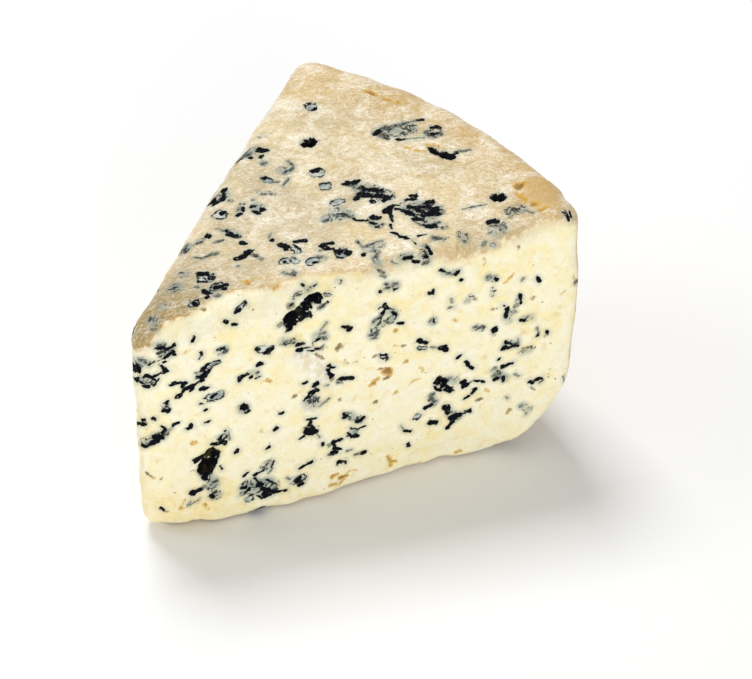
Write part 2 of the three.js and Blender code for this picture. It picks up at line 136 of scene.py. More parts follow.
# Mould, stains and torn curd of the cut that faces the camera, as straight strokes read off the
# photo. Each key is a kind and a width in pixels. Under it are the pixel across and down where
# each stroke starts, and how far it runs across and down from there. A pixel is about 0.2 mm on the
# cheese, and photo_strokes works out each stroke's place and size on the wedge.
CUT_STROKES = {
    ("hole", 6): [(286, 328, 10, -6)],
    ("hole", 8): [(296, 314, 13, -10)],
    ("hole", 10): [(308, 299, 12, 0), (287, 322, 10, -9), (437, 379, 8, 6)],
    ("hole", 14): [(213, 450, -8, 22)],
    ("black", 1.5): [(570, 212, 1, 5), (157, 362, 6, -3), (163, 363, 3, -2), (160, 374, 5, -1),
        (152, 378, 8, -4), (154, 386, 5, -7), (256, 379, 4, -3), (205, 423, 4, -2), (161, 508, 3, 2),
        (275, 492, 4, -1), (256, 495, 6, 3), (314, 342, 6, -3), (313, 342, 0, 5), (303, 349, 9, -2),
        (307, 351, 8, -1), (303, 384, 4, -2), (304, 466, 4, -3), (278, 492, 4, -1)],
    ("black", 2): [(562, 212, 4, 1), (244, 306, 2, -4), (164, 359, 6, -5), (138, 381, 4, 2),
        (146, 376, 7, 2), (152, 378, 5, 4), (217, 350, 4, 0), (212, 361, 8, -1), (207, 374, 3, -5),
        (203, 380, -5, 2), (190, 391, 3, -3), (169, 385, 5, 0), (201, 389, 3, -2), (204, 389, 6, -2),
        (200, 404, 4, 0), (166, 404, 2, -3), (264, 354, 4, -2), (238, 378, 3, -1), (244, 410, 4, -2),
        (246, 413, 3, -2), (137, 423, 4, 1), (137, 441, 3, 4), (218, 440, 7, -7), (220, 466, 3, 4),
        (243, 476, 5, -4), (257, 474, 8, -4), (264, 497, 7, -3), (271, 468, 3, -7), (290, 306, 3, -2),
        (378, 308, 2, -2), (397, 323, 6, 0), (380, 355, 6, 0), (304, 401, 2, -4), (306, 419, 10, -1),
        (362, 453, 4, -1), (348, 432, 3, 5), (356, 422, 6, -2), (361, 420, 3, -3), (440, 270, 6, 2),
        (434, 386, 2, 2), (475, 381, 5, 0), (481, 381, 3, 1), (464, 398, 6, -3)],
    ("black", 2.5): [(567, 216, 2, 4), (235, 313, 5, -4), (168, 355, 4, -3), (148, 366, 7, -4),
        (164, 371, 4, 0), (142, 379, 4, -3), (143, 387, 6, 0), (199, 359, 3, -6), (201, 352, 1, 4),
        (206, 366, 6, -4), (196, 376, 6, 1), (202, 377, 6, -3), (198, 382, -5, 4), (211, 399, 6, -4),
        (205, 398, 1, 1), (205, 411, 2, -2), (151, 419, 4, -1), (142, 420, 4, -1), (243, 377, 5, -3),
        (140, 446, 7, 0), (161, 426, 5, 4), (190, 424, 1, 3), (262, 494, 6, -2), (241, 488, 6, 0),
        (240, 494, 4, -3), (327, 301, 2, 1), (302, 285, 2, 0), (314, 286, 3, -2), (379, 292, 2, 0),
        (394, 289, 4, -1), (387, 308, 6, 1), (382, 313, 3, -3), (391, 311, 5, 4), (315, 349, 3, -1),
        (347, 378, 6, 0), (299, 440, 5, -4), (353, 428, 7, 2), (358, 429, 7, -3), (351, 437, 7, -2),
        (404, 431, 7, 1), (408, 443, 1, 3), (299, 485, 4, -2), (299, 469, 4, -3), (434, 319, 0, 4),
        (503, 305, 2, 1), (519, 294, 2, 4), (521, 298, 0, 5), (520, 320, 5, 1), (505, 342, 7, 2),
        (507, 348, 12, -3), (502, 367, 11, -4), (460, 281, 2, -1), (495, 278, 2, 2), (471, 394, 4, -5),
        (424, 409, 8, -4), (428, 247, 2, 2)],
    ("black", 3): [(232, 325, 4, -1), (158, 349, 8, -1), (166, 349, 7, -2), (172, 347, 3, -2),
        (172, 350, 2, 5), (220, 349, 4, -1), (204, 370, 2, 4), (186, 388, -4, 3), (172, 384, 5, -1),
        (177, 383, 10, 0), (164, 411, 5, -1), (256, 349, 4, 1), (268, 351, 4, -1), (249, 378, 3, -1),
        (141, 425, 5, -1), (147, 446, 5, -4), (174, 425, 5, -2), (187, 430, 4, -3), (224, 432, 2, -2),
        (194, 493, 7, -4), (211, 496, 3, 2), (235, 453, 3, -4), (266, 449, 3, -2), (275, 430, 2, -3),
        (279, 414, 4, -2), (255, 476, 3, -3), (255, 478, 4, 6), (266, 480, 7, 2), (244, 492, 6, -4),
        (306, 306, 5, 1), (286, 331, 6, -2), (328, 366, 7, 2), (305, 399, 6, -5), (310, 418, 0, 6),
        (322, 442, 1, 4), (333, 442, 8, -2), (350, 427, 3, 3), (343, 418, 4, -3), (284, 491, 4, -1),
        (428, 293, 5, 0), (433, 290, 1, 6), (537, 335, 1, 1), (498, 360, 2, -1), (469, 367, 5, 1),
        (445, 346, 2, 5), (494, 380, 4, -2), (503, 377, 1, 4), (533, 380, 9, -2), (455, 275, 5, -5),
        (437, 389, 5, 2), (457, 416, 6, -2), (452, 423, -5, 5), (430, 250, 2, 4), (424, 256, 4, 2),
        (404, 259, 8, -3)],
    ("black", 4): [(225, 320, 2, 3), (192, 341, 3, -4), (131, 366, 6, 3), (161, 366, 5, 5), (134, 379, 4, 1),
        (201, 371, 6, -4), (193, 386, -7, 2), (182, 388, 1, -5), (178, 396, 2, 0), (257, 366, 5, -3),
        (239, 382, 4, -6), (152, 443, 6, -2), (156, 441, 5, -3), (162, 434, 3, -4), (211, 444, 15, -1),
        (194, 461, 9, -6), (258, 486, 5, -1), (262, 488, 4, 1), (267, 490, 8, 2), (384, 305, 3, 4),
        (418, 340, 9, 3), (343, 326, 4, 2), (296, 345, 7, -1), (297, 350, 6, 0), (341, 379, 6, -1),
        (314, 386, 5, -2), (316, 388, 2, 3), (309, 394, 6, -3), (333, 442, 2, 6), (334, 449, 6, 0),
        (332, 454, 6, -2), (338, 462, 8, -1), (343, 413, 3, 4), (295, 481, 5, -2), (308, 463, 5, -1),
        (507, 308, -1, 10), (547, 331, 1, 3), (502, 349, 5, -2), (457, 358, 4, -2), (466, 361, 3, 5),
        (439, 348, 7, 0), (537, 277, 2, 5), (459, 383, 7, -1), (463, 385, 5, 0), (443, 408, 6, -1),
        (446, 411, 2, 3), (449, 417, 8, -1), (463, 414, 7, -3), (455, 418, -3, 5), (430, 423, 8, -1),
        (414, 262, 6, 0)],
    ("black", 5): [(241, 408, 4, -3), (203, 478, 4, 0), (299, 319, 12, -6), (347, 329, 4, 0),
        (328, 370, 3, 7), (309, 426, -3, 7), (311, 426, 3, 7), (305, 432, 11, 0), (493, 331, 2, -3),
        (530, 381, 3, 3)],
    ("black", 6): [(154, 437, 9, 0), (192, 492, 2, 2), (446, 388, 6, 3)],
    ("dim", 1.5): [(228, 431, 2, 9), (239, 496, 9, -3), (268, 474, 5, -6), (368, 335, 10, -2),
        (370, 338, 7, 0), (319, 407, 11, -9), (314, 396, 3, 4), (347, 451, 5, -1), (355, 455, 10, -3),
        (347, 414, 5, -1), (430, 347, 9, 1), (563, 376, 1, 5), (468, 383, 7, -3)],
    ("dim", 2): [(223, 352, 4, -1), (210, 367, 8, -4), (144, 419, 2, 4), (168, 431, 5, -2),
        (212, 482, 5, -2), (303, 307, 3, -4), (321, 330, 6, -8), (320, 334, 5, -1), (319, 349, 4, -4),
        (317, 434, 3, 3), (328, 455, 5, 0), (401, 426, 3, 5), (473, 327, 10, 0), (510, 312, 6, 0),
        (512, 344, 6, -1), (518, 338, 0, 6), (538, 383, 5, -3), (486, 277, 5, -1), (522, 280, 2, -2),
        (506, 397, 2, 2), (525, 414, 2, -1), (373, 258, 2, 6), (392, 262, 6, 2)],
    ("dim", 2.5): [(278, 326, 4, -3), (318, 308, 11, -7), (325, 386, 4, -1), (287, 478, 3, 1),
        (537, 327, 1, 6), (491, 370, 5, -2), (515, 374, 4, 2), (520, 406, 2, 0), (380, 276, 6, 1)],
    ("dim", 3): [(136, 364, 5, 2), (140, 361, 6, 3), (201, 489, 4, -3), (387, 283, 2, 6), (393, 284, 4, 0),
        (373, 322, 2, -3), (320, 338, 6, 0), (328, 445, 2, 1), (451, 298, 1, 5), (449, 308, 5, -1),
        (515, 307, 2, -2), (497, 371, 3, 3), (446, 273, 7, 1), (430, 395, 4, -1), (432, 398, 2, 4),
        (422, 264, 6, -2), (378, 270, 6, 3)],
    ("dim", 4): [(158, 346, 7, -1), (286, 342, 5, 0), (338, 382, 4, -2)],
    ("ring", 4): [(325, 295, 5, 0), (419, 348, 8, 0)],
    ("ring", 5): [(564, 212, 2, 2), (237, 310, 9, -7), (247, 501, 6, -4), (381, 357, 7, 0),
        (416, 418, 3, -2)],
    ("ring", 6): [(207, 366, 12, -5), (219, 438, 7, -4), (298, 480, 6, -3)],
    ("ring", 8): [(198, 376, 10, -5), (208, 399, 14, -5), (259, 350, 12, 0), (350, 433, 7, -1)],
    ("haze", 5): [(188, 505, 12, -6), (306, 291, 6, -4), (337, 281, 5, 0), (493, 288, 0, 8)],
    ("haze", 6): [(154, 347, 6, -1), (250, 373, 8, 0), (475, 328, 9, 0), (466, 302, 6, -6), (517, 299, 3, 0),
        (520, 352, 12, -4), (442, 272, 16, 0), (487, 278, 9, 1)],
    ("haze", 8): [(219, 351, 7, 0), (164, 403, 3, 6), (262, 470, 8, -8), (293, 300, 7, -7),
        (280, 342, 14, 0), (314, 336, 12, 0), (345, 415, 17, 6), (430, 321, 5, 1), (524, 318, 10, 0),
        (504, 345, 13, -1), (446, 379, 10, 1), (448, 412, 12, 6), (522, 405, 8, 5), (420, 256, 10, 6),
        (400, 258, 12, -2), (374, 254, 6, 12)],
    ("haze", 10): [(160, 355, 12, -5), (133, 364, 15, -2), (140, 381, 14, 1), (240, 409, 7, 0),
        (142, 445, 24, -12), (386, 286, 11, 0), (374, 324, 0, 12), (306, 406, 12, -6), (292, 480, 12, 1),
        (507, 312, 2, 10), (494, 373, 12, 6), (430, 398, 6, 6), (424, 246, 2, 10)],
    ("haze", 14): [(212, 478, 4, 20), (380, 320, 14, -5)],
    ("haze", 18): [(244, 487, 30, -1)],
    ("amber", 1.5): [(261, 384, 3, -3), (183, 354, 9, -4), (420, 367, 3, 4), (409, 385, 9, -7),
        (349, 471, 9, -1), (561, 296, 5, -6), (503, 284, 13, -12)],
    ("amber", 2): [(266, 379, 5, 3), (152, 479, 2, -1), (394, 394, 4, -3), (574, 275, 3, 10),
        (485, 265, -1, -6), (485, 390, 5, 2), (505, 416, 3, -3)],
    ("amber", 2.5): [(182, 506, 3, -6), (180, 508, 6, 1), (330, 485, 12, -2), (414, 463, 6, 0),
        (454, 320, 4, 0)],
    ("amber", 3): [(204, 503, 4, 7), (394, 330, 5, 1), (405, 363, 3, -3), (331, 477, 7, -2),
        (391, 462, 5, -1), (456, 453, 4, -3)],
    ("amber", 4): [(192, 444, 4, -1), (374, 381, 6, -3), (371, 385, 4, -2), (339, 478, 8, -2),
        (388, 456, 3, 11)],
    ("amber", 8): [(384, 372, 7, 0)],
    ("rust", 1.5): [(160, 482, 2, -4), (389, 458, 1, 6)],
    ("rust", 2): [(205, 423, 5, -2), (190, 473, 4, -3), (394, 347, 12, -2), (373, 357, 6, -2),
        (378, 369, 8, 0), (316, 354, 8, 5), (345, 361, 2, 3), (352, 363, 6, -1), (373, 403, 4, -2),
        (491, 310, 6, -1), (531, 298, 4, 0), (517, 250, 1, -5)],
    ("rust", 2.5): [(260, 431, 2, 0), (146, 472, 5, 5), (160, 508, 5, 3), (165, 511, 4, 1),
        (293, 397, 2, -2), (339, 399, 2, 0), (493, 335, 2, 0), (474, 299, 2, 0), (545, 337, 1, -1),
        (477, 401, 5, -2)],
    ("rust", 3): [(203, 309, 2, 0), (384, 379, 4, -1), (331, 381, 2, -3), (532, 387, 1, 3),
        (508, 411, 2, -1)],
    ("rust", 4): [(337, 350, 4, -5)],
    ("rust", 5): [(287, 308, 6, -4)],
    ("rust", 6): [(200, 464, 6, 4)],
    ("torn", 8): [(308, 400, 8, 12)],
    ("torn", 18): [(300, 352, 26, 26)],
}

# The same for the wedge's top
TOP_STROKES = {
    ("hole", 5): [(431, 149, 10, 4)],
    ("hole", 6): [(441, 153, 11, 4)],
    ("hole", 8): [(494, 197, 9, 0)],
    ("hole", 10): [(305, 142, 8, 1)],
    ("black", 1.5): [(412, 240, 4, 4), (418, 236, 9, -2)],
    ("black", 2): [(217, 218, 4, 1), (237, 216, 5, -3), (240, 204, 5, 0), (293, 244, 4, 3), (308, 265, 4, 0),
        (203, 277, 3, 1), (307, 104, 4, -1), (450, 156, 7, -3), (392, 204, 8, 2), (390, 224, 2, 5),
        (392, 232, 8, 4), (376, 227, 3, 0), (353, 219, 7, 2), (360, 221, 8, -1), (553, 181, 7, 1),
        (560, 182, 4, 3), (564, 185, 3, 4)],
    ("black", 2.5): [(312, 171, 6, -2), (264, 178, 3, -1), (222, 191, 4, -1), (221, 212, 3, 1),
        (243, 212, 0, -5), (241, 242, 5, 2), (270, 240, 3, 1), (286, 248, 1, 2), (198, 281, 8, 0),
        (192, 303, 5, 3), (312, 110, 4, -2), (417, 120, 6, 0), (400, 236, 12, 4), (337, 257, 6, 1),
        (362, 255, 2, -2)],
    ("black", 3): [(260, 158, 2, -3), (251, 158, 1, -1), (213, 205, 11, -7), (224, 198, -1, -5),
        (209, 204, 5, -4), (226, 230, 2, 5), (294, 242, 6, -1), (301, 241, 5, -1), (285, 260, 1, 2),
        (199, 274, 10, -1), (208, 277, 4, 0), (214, 287, 14, -2), (205, 298, 4, -2), (397, 140, 8, -1),
        (430, 127, 10, 1), (432, 134, 2, 0), (437, 133, 2, 0), (430, 147, 4, 5), (366, 194, 8, 3),
        (382, 201, 8, -2), (371, 202, 3, -1), (405, 200, 10, -1), (396, 208, 11, 3), (408, 207, 17, 0),
        (389, 212, 4, 10), (371, 222, 5, 2), (326, 244, 7, -1), (337, 251, 8, -1), (345, 251, 5, 2)],
    ("black", 4): [(257, 149, 11, 2), (252, 206, 4, 0), (253, 211, 6, 2), (261, 210, 3, 0), (205, 236, 5, 0),
        (229, 233, 7, 4), (314, 261, 2, 1), (222, 289, 4, -2), (203, 291, 6, 3), (374, 134, 6, -4),
        (342, 184, 8, -2), (350, 182, 9, -1), (361, 187, 9, 3), (411, 196, 4, 0), (407, 211, 7, 4),
        (417, 209, 7, 4), (425, 202, 8, 0), (428, 206, 8, 4), (434, 208, 4, 0), (412, 219, 12, 0),
        (424, 224, 7, 3), (430, 226, 6, 0), (321, 247, 5, -3), (326, 248, 8, 1), (488, 222, 11, -1)],
    ("black", 5): [(243, 256, 7, -5), (280, 244, 8, 3), (369, 188, 12, 3), (360, 193, 6, 3),
        (355, 199, 4, -2), (376, 195, 16, 2), (384, 212, 8, -7), (421, 216, 9, -2), (430, 212, 9, 2),
        (371, 217, 7, 2)],
    ("black", 6): [(236, 259, 7, -3)],
    ("dim", 1.5): [(272, 182, 7, 0), (216, 228, 8, 3), (237, 234, 4, 3), (203, 258, 8, -3),
        (271, 233, -2, 5), (405, 139, 19, -1), (463, 209, 24, -5), (524, 210, 10, 3), (455, 152, 17, -2)],
    ("dim", 2): [(287, 161, 7, 5), (282, 187, 7, -9), (195, 257, 8, 2), (179, 273, 5, 0), (213, 296, 9, 0),
        (386, 128, 16, -4), (402, 124, 17, -4), (441, 128, 0, 7), (413, 221, 11, 5), (319, 251, 3, -1),
        (357, 241, 6, 6), (363, 247, 5, -1), (369, 245, 13, -5), (149, 321, 4, -3), (151, 330, 5, 0)],
    ("dim", 2.5): [(290, 171, 3, -3), (228, 201, 5, 0), (262, 194, 4, 0), (252, 200, 2, 0),
        (213, 243, 11, -3), (237, 266, 2, 0), (283, 272, 7, 2), (293, 270, 3, 3), (196, 287, 4, 1),
        (380, 130, 12, -1), (380, 136, 8, 3), (426, 132, 2, 0), (346, 185, 10, 0), (436, 222, 4, 0),
        (483, 245, 3, -3)],
    ("dim", 3): [(262, 164, 5, -2), (210, 255, 8, -2), (252, 254, 10, 5), (323, 221, 8, -2),
        (334, 215, 4, 3), (345, 214, 7, 4), (373, 250, 7, 2), (376, 255, 2, 5), (503, 222, 3, 6),
        (433, 238, 5, 0)],
    ("dim", 4): [(245, 156, 2, -3), (184, 247, 3, 4), (490, 226, 10, -1), (461, 240, 4, 1)],
    ("ring", 4): [(491, 244, 4, 2)],
    ("ring", 5): [(291, 258, 6, 4)],
    ("ring", 6): [(264, 178, 6, 4), (294, 247, 5, 6), (281, 262, 8, -2), (191, 305, 7, -2),
        (333, 204, 8, -4), (322, 186, 7, 1)],
    ("ring", 8): [(312, 173, 10, 0), (216, 214, 7, 1), (309, 263, 7, -4), (213, 288, 11, -2),
        (307, 107, 7, 0)],
    ("ring", 10): [(199, 277, 11, 0), (338, 254, 8, -2)],
    ("haze", 3): [(254, 191, 26, 4)],
    ("haze", 4): [(259, 137, 6, -3), (330, 211, 14, -3)],
    ("haze", 5): [(284, 272, 12, 2), (432, 238, 14, 1)],
    ("haze", 6): [(241, 158, 15, -10), (262, 160, 2, 4), (238, 211, 4, -3), (195, 243, 8, -2),
        (182, 275, 6, 0), (488, 231, 10, 5)],
    ("haze", 8): [(225, 231, 13, 4), (182, 249, 6, 0), (318, 259, 6, -2), (376, 132, 16, -4),
        (424, 223, 20, 4), (323, 219, 29, -5), (366, 250, 16, -6), (499, 226, 5, 6), (160, 306, 6, 0)],
    ("haze", 10): [(281, 172, 9, -4), (215, 200, 11, -6), (254, 208, 8, 0), (208, 292, 10, 1),
        (170, 288, 8, 0), (428, 133, 10, 1), (371, 220, 9, 6), (508, 212, 16, -5), (460, 234, 6, 4),
        (150, 320, 8, 1)],
    ("haze", 14): [(380, 132, 32, -4), (358, 187, 32, 11)],
    ("haze", 18): [(405, 205, 33, 9)],
    ("amber", 1.5): [(240, 282, 22, -4)],
    ("amber", 2): [(380, 97, 20, 6), (404, 147, 22, 5)],
    ("amber", 3): [(246, 283, 4, 1), (278, 284, -4, 6), (426, 145, 14, 1), (525, 198, 2, 5),
        (539, 210, 10, -4)],
    ("amber", 4): [(366, 90, 10, 5), (517, 193, 7, 5), (531, 204, 7, 1)],
    ("amber", 8): [(516, 187, 6, -2)],
    ("rust", 2): [(506, 218, 5, -1)],
    ("rust", 3): [(492, 220, 6, 0)],
    ("rust", 4): [(518, 187, 3, -1), (566, 196, 0, 4)],
    ("tan", 14): [(532, 196, 20, 6)],
    ("tan", 18): [(530, 184, 26, 6)],
}

# What each kind of mould does: how black its inside is, how black its outline is, and how deep it
# sinks in millimetres
MOULD_KINDS = {
    "hole": (1.0, 1.0, 2.2),
    "black": (1.0, 1.0, 0.6),
    "dim": (0.62, 0.5, 0.35),
    "ring": (0.1, 0.95, 0.4),
}

# Depth inside their edge, in millimetres, at which haze, raised tan rind and torn curd begin and
# are whole
SOFT_EDGES = {"haze": (-0.9, 0.9), "tan": (-1.0, 0.8), "torn": (-2.2, 1.2)}
STAIN_KINDS = ("amber", "rust")

# How often each kind is drawn where mould is strewn, and how often a cluster has haze
STREWN_KINDS = {"hole": 0.02, "black": 0.45, "dim": 0.25, "ring": 0.15, "amber": 0.06, "rust": 0.07}
HAZE_ODDS = 0.6

# A strewn cluster's slant in degrees, its half size along and across as shares of its spread, and
# how far its strokes turn; the longest stroke, the strokes' half widths and the kinds that are wider
CLUSTER_SLANTS = (10, 55)
CLUSTER_SHAPE = np.array([0.55, 0.25])
CLUSTER_TURN = 0.6
LONGEST_STREWN = 3.0
STREWN_RADII = (0.18, 0.42)
WIDER_KINDS = {"hole": 2.2, "ring": 1.7}

# Clusters strewn over each area that the photo doesn't show: how many, their seed, and the largest
# one's size in millimetres
STREWN_AREAS = {
    "back": (95, SEED + 10, 6.0),
    "back tip": (22, SEED + 15, 6.0),
    "rim": (26, SEED + 13, 2.6),
    "base": (30, SEED + 14, 3.4),
}


# A bell-shaped rise of height 1
def hump(x, at, width):
    return np.exp(-(((x - at) / width) ** 2))


# The smaller of two distances to a surface, with the edge between them rounded
def round_min(a, b, radius):
    over = np.hypot(np.maximum(radius - a, 0), np.maximum(radius - b, 0))
    return np.maximum(radius, np.minimum(a, b)) - over


# A slow, seeded wobble of a place, from about -1 to 1: sine waves in chosen directions
def wobble(points, length, seed):
    waves = 6
    usual_sum = 2.4
    draw = np.random.default_rng(seed)
    total = np.zeros(len(points))
    for _ in range(waves):
        way = draw.normal(size=3)
        way *= draw.uniform(0.7, 1.4) * 2 * math.pi / (length * np.linalg.norm(way))
        total += np.sin(points @ way + draw.uniform(0, 2 * math.pi))
    return total / usual_sum


# Height of the top: it rises to the rim, sways along it and droops at the tip
def top_height(x, y):
    sway_peak = 0.65
    sway_span = 1.15
    r = np.hypot(x, y)
    outward = np.minimum(r / WHEEL_RADIUS, 1)
    across = np.arctan2(y, np.maximum(x, TINY)) / HALF_ANGLE
    sway = RIM_SWAY * outward ** 3 * np.cos(math.pi * (across - sway_peak) / sway_span)
    droop = TIP_DROOP * hump(r, at=0, width=14)
    return TIP_HEIGHT + (RIM_HEIGHT - TIP_HEIGHT) * outward + sway - droop


# Radius of the rim: it bellies out at two thirds of its height and curves in at the foot
def rim_radius(z):
    belly_height = 0.66
    belly_half = 0.4
    belly = RIM_BELLY * (1 - ((z / RIM_HEIGHT - belly_height) / belly_half) ** 2)
    low = np.clip(1 - z / FOOT_HEIGHT, 0, 1)
    return WHEEL_RADIUS + belly - FOOT_RADIUS_IN * (1 - np.sqrt(1 - low ** 2))


# Depth of points under the wedge's surface, negative outside
def depth_inside(points):
    x, y, z = points.T
    r = np.hypot(x, y)
    toe = TOE_BULGE * hump(r, at=28, width=22) * hump(z, at=0, width=14)
    tuck = FOOT_TUCK * hump(r, at=67, width=18) * hump(z, at=0, width=9)
    ragged = RAGGED_FOOT * wobble(points, length=7, seed=SEED + 6) * hump(z, at=1, width=4)
    front = x * math.sin(HALF_ANGLE) + y * math.cos(HALF_ANGLE) + toe - tuck + ragged
    back = x * math.sin(HALF_ANGLE) - y * math.cos(HALF_ANGLE)
    cuts = round_min(front, back, TIP_ROUNDING)
    sides = round_min(cuts, rim_radius(z) - r, SIDE_ROUNDING)
    shoulder = TOP_ROUNDING + SHOULDER_SOFTNESS * hump(r, at=24, width=14)
    capped = round_min(sides, top_height(x, y) - z, shoulder)
    under = BOTTOM_ROUNDING + TIP_TOE * hump(r, at=8, width=13)
    return round_min(capped + LUMP_HEIGHT * wobble(points, length=12, seed=SEED), z, under)


# Points of the sharp-edged wedge at shares of the way out, across and up
def sharp_points(out, across, up):
    r = INNERMOST + (WHEEL_RADIUS - INNERMOST) * out
    x = r * np.cos(HALF_ANGLE * across)
    y = r * np.sin(HALF_ANGLE * across)
    return np.stack([x, y, up * top_height(x, y)], 1)


# Grid points of the box that is drawn in to the wedge, and its faces
def box_grid():
    steps = (STEPS_ALONG, STEPS_ACROSS, STEPS_UP)
    corners = []
    for axis in range(3):
        a, b = [k for k in range(3) if k != axis]
        first, second = np.meshgrid(np.arange(steps[a]), np.arange(steps[b]), indexing="ij")
        for end in (0, steps[axis]):
            quad = np.zeros((first.size, 4, 3), int)
            quad[:, :, axis] = end
            for corner, (i, j) in enumerate(((0, 0), (1, 0), (1, 1), (0, 1))):
                quad[:, corner, a] = first.ravel() + i
                quad[:, corner, b] = second.ravel() + j
            outward = (end > 0) == (axis != 1)
            corners.append(quad if outward else quad[:, ::-1])
    corners = np.concatenate(corners)
    places, index = np.unique(corners.reshape(-1, 3), axis=0, return_inverse=True)
    return places / np.array(steps), index.reshape(-1, 4)


# The wedge's points and faces: each point of the sharp-edged wedge is drawn in towards a smaller
# wedge until it meets the rounded surface
def wedge_surface():
    places, quads = box_grid()
    out, across, up = places[:, 0], 2 * places[:, 1] - 1, places[:, 2]
    core = sharp_points(np.clip(out, *CORE_OUT), np.clip(across, *CORE_ACROSS), np.clip(up, *CORE_UP))
    way = sharp_points(out, across, up) - core
    low = np.zeros(len(out))
    high = np.full(len(out), 2.0)
    for _ in range(HALVINGS):
        middle = (low + high) / 2
        within = depth_inside(core + way * middle[:, None]) > 0
        low = np.where(within, middle, low)
        high = np.where(within, high, middle)
    return core + way * low[:, None], quads


# Direction straight out of the surface at each point
def outward_directions(points):
    step = 0.05
    slope = np.stack([
        depth_inside(points + shift) - depth_inside(points - shift) for shift in np.eye(3) * step
    ], 1)
    return -slope / np.linalg.norm(slope, axis=1, keepdims=True)


# The camera's own directions: to its right, ahead and up
def view_directions():
    level = math.cos(VIEW_HEIGHT)
    right = np.array([math.cos(VIEW_TURN), -math.sin(VIEW_TURN), 0])
    ahead = np.array([math.sin(VIEW_TURN) * level, math.cos(VIEW_TURN) * level, -math.sin(VIEW_HEIGHT)])
    return right, ahead, np.cross(right, ahead)


def eye_place():
    right, ahead, up = view_directions()
    return -VIEW_DISTANCE * ahead - VIEW_ASIDE * right - VIEW_BELOW * up


# Direction from the eye through each pixel of the photo, one unit deep
def sight_lines(x, y):
    right, ahead, up = view_directions()
    focal = LENS / SENSOR * PHOTO_WIDTH
    return (ahead + np.outer((x - PHOTO_WIDTH / 2) / focal, right)
            - np.outer((y - PHOTO_HEIGHT / 2) / focal, up))


# Where the wedge's surface shows through each pixel, found by stepping along the sight line. A
# step is a little shorter than the depth says, and a line that misses the wedge stays near it.
def seen_points(x, y):
    ways = sight_lines(x, y)
    eye = eye_place()
    far = np.full(len(ways), VIEW_DISTANCE - SIGHT_START)
    for _ in range(SIGHT_STEPS):
        far -= 0.9 * np.clip(depth_inside(eye + ways * far[:, None]), -20, 1)
    return eye + ways * far[:, None]


# Where sight lines cross planes, each given by a place in it and its direction out
def crossings(ways, places, outs):
    eye = eye_place()
    steepness = np.minimum(np.sum(ways * outs, 1), -LEAST_STEEPNESS)
    return eye + ways * (np.sum((places - eye) * outs, 1) / steepness)[:, None]


# What a step of so many pixels, centred on each middle pixel, measures on that place's plane
def step_on_planes(middle, across, down, planes):
    x, y = middle
    start = crossings(sight_lines(x - across / 2, y - down / 2), *planes)
    end = crossings(sight_lines(x + across / 2, y + down / 2), *planes)
    return end - start


# A straight stroke with round ends, on the plane through its place that faces out: reach is half of
# its straight part, and radius is half of its width
Stroke = namedtuple("Stroke", ["kind", "place", "along", "aside", "out", "reach", "radius"])


def stroke_on_plane(kind, place, along, out, reach, radius):
    along = along - out * (along @ out)
    along = along / np.linalg.norm(along)
    return Stroke(kind, place, along, np.cross(out, along), out, reach, radius)


# The strokes that were read off the photo, laid on the wedge
def photo_strokes(table):
    names, rows = [], []
    for (kind, width), runs in table.items():
        names += [kind] * len(runs)
        rows += [(*run, width) for run in runs]
    x, y, run, fall, width = np.array(rows, float).T
    middle = x + run / 2, y + fall / 2
    places = seen_points(*middle)
    planes = places, outward_directions(places)
    # A dot has no way of its own, so each stroke runs a tenth of a pixel further across
    run += 0.1
    stubby = width / np.hypot(run, fall)
    ways = step_on_planes(middle, run, fall, planes)
    lengths = np.linalg.norm(ways, axis=1)
    widths = np.linalg.norm(step_on_planes(middle, -fall * stubby, run * stubby, planes), axis=1)
    on_wedge = np.abs(depth_inside(places)) < MISSED
    strokes = []
    for number in np.flatnonzero(on_wedge):
        reach = max((lengths[number] - widths[number] / 2) / 2, SHORTEST_REACH)
        place, out = [side[number] for side in planes]
        radius = widths[number] / 2
        strokes.append(stroke_on_plane(names[number], place, ways[number], out, reach, radius))
    return strokes


# Clusters of strokes that a seeded draw strews over part of the surface, slanted like the curd
def strewn_strokes(points, normals, chosen, clusters, seed, largest):
    draw = np.random.default_rng(seed)
    kinds, odds = list(STREWN_KINDS), list(STREWN_KINDS.values())
    strokes = []
    for spot in draw.choice(np.flatnonzero(chosen), clusters):
        out = normals[spot]
        level = np.cross(out, (0, 0, 1) if abs(out[2]) < 0.9 else (1, 0, 0))
        level /= np.linalg.norm(level)
        rise = np.cross(level, out)
        spread = draw.uniform(0.2, 1.0) ** 1.5 * largest
        members = 1 + int(spread * draw.uniform(0.8, 1.7))
        slant = math.radians(draw.uniform(*CLUSTER_SLANTS))
        along = math.cos(slant) * level + math.sin(slant) * rise
        aside = np.cross(out, along)
        for _ in range(members):
            shift = draw.normal(size=2) * CLUSTER_SHAPE * spread * (members > 1)
            turn = slant + draw.normal() * CLUSTER_TURN
            way = math.cos(turn) * level + math.sin(turn) * rise
            reach = draw.uniform(0.2, 1.0) * min(spread, LONGEST_STREWN) / 2
            radius = draw.uniform(*STREWN_RADII) + 0.12 * reach
            kind = draw.choice(kinds, p=odds)
            radius *= WIDER_KINDS.get(kind, 1.0)
            place = points[spot] + shift[0] * along + shift[1] * aside
            strokes.append(stroke_on_plane(kind, place, way, out, reach, radius))
        if members > 2 and draw.random() < HAZE_ODDS:
            strokes.append(stroke_on_plane("haze", points[spot], along, out, 0.4 * spread, 0.3 * spread))
    return strokes


